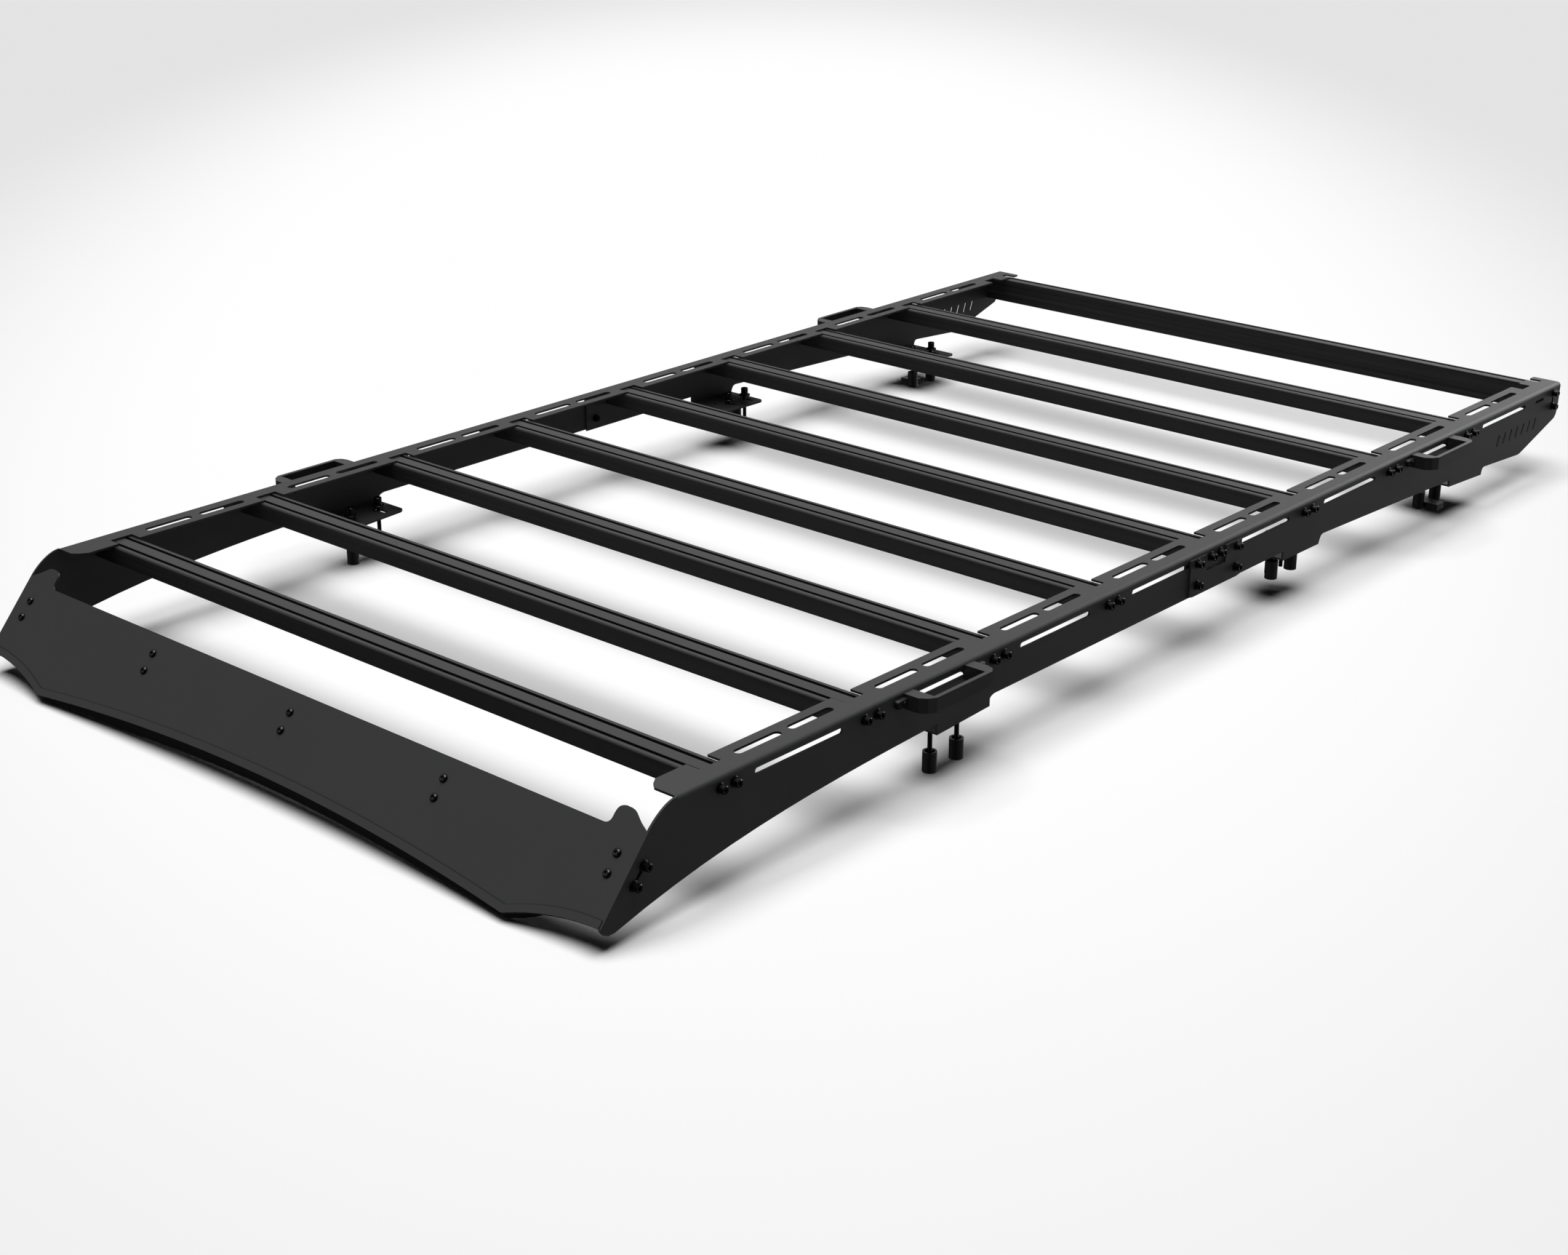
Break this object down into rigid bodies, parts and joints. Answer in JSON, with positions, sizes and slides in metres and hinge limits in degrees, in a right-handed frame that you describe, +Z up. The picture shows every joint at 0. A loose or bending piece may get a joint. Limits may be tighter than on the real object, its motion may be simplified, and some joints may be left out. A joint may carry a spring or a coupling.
{
  "type": "roof rack",
  "caption": "Full-length vehicle roof rack: formed side rails on bolted feet, T-slot crossbars between them, a sloping wind fairing with an edge trim, and side tie-down loops",
  "frame": {"origin": "centre of the bounding box's base, on the floor under the foot spacers", "axes": "+X across the rack to the side that the picture shows nearest, -Y towards the wind fairing at the front, +Z up"},
  "size_m": [1.283, 2.3238, 0.151],
  "materials": {
    "rail_coat": "satin black powder coat with a fine texture",
    "bar_coat": "satin black powder coat on extruded aluminium",
    "edge_rubber": "matte black rubber, for the edge trim and the foot blocks",
    "bolt_steel": "black oxide",
    "spacer_coat": "satin black"
  },
  "bodies": {
    "root": {"right_rail": "rail_coat", "left_rail": "rail_coat", "right_outer_splice": "rail_coat", "left_outer_splice": "rail_coat", "right_inner_splice": "rail_coat", "left_inner_splice": "rail_coat", "crossbar_1": "bar_coat", "crossbar_2": "bar_coat", "crossbar_3": "bar_coat", "crossbar_4": "bar_coat", "crossbar_5": "bar_coat", "crossbar_6": "bar_coat", "crossbar_7": "bar_coat", "crossbar_8": "bar_coat", "rear_crossbar": "bar_coat", "wind_fairing": "rail_coat", "fairing_trim": "edge_rubber", "right_fairing_bracket": "rail_coat", "left_fairing_bracket": "rail_coat", "front_right_loop": "rail_coat", "front_left_loop": "rail_coat", "rear_right_loop": "rail_coat", "rear_left_loop": "rail_coat", "front_foot_studs": "bolt_steel", "middle_foot_studs": "bolt_steel", "rear_foot_studs": "bolt_steel", "front_foot_spacers": "spacer_coat", "middle_foot_spacers": "spacer_coat", "rear_foot_spacers": "spacer_coat", "rear_foot_blocks": "edge_rubber"}
  },
  "joints": []
}
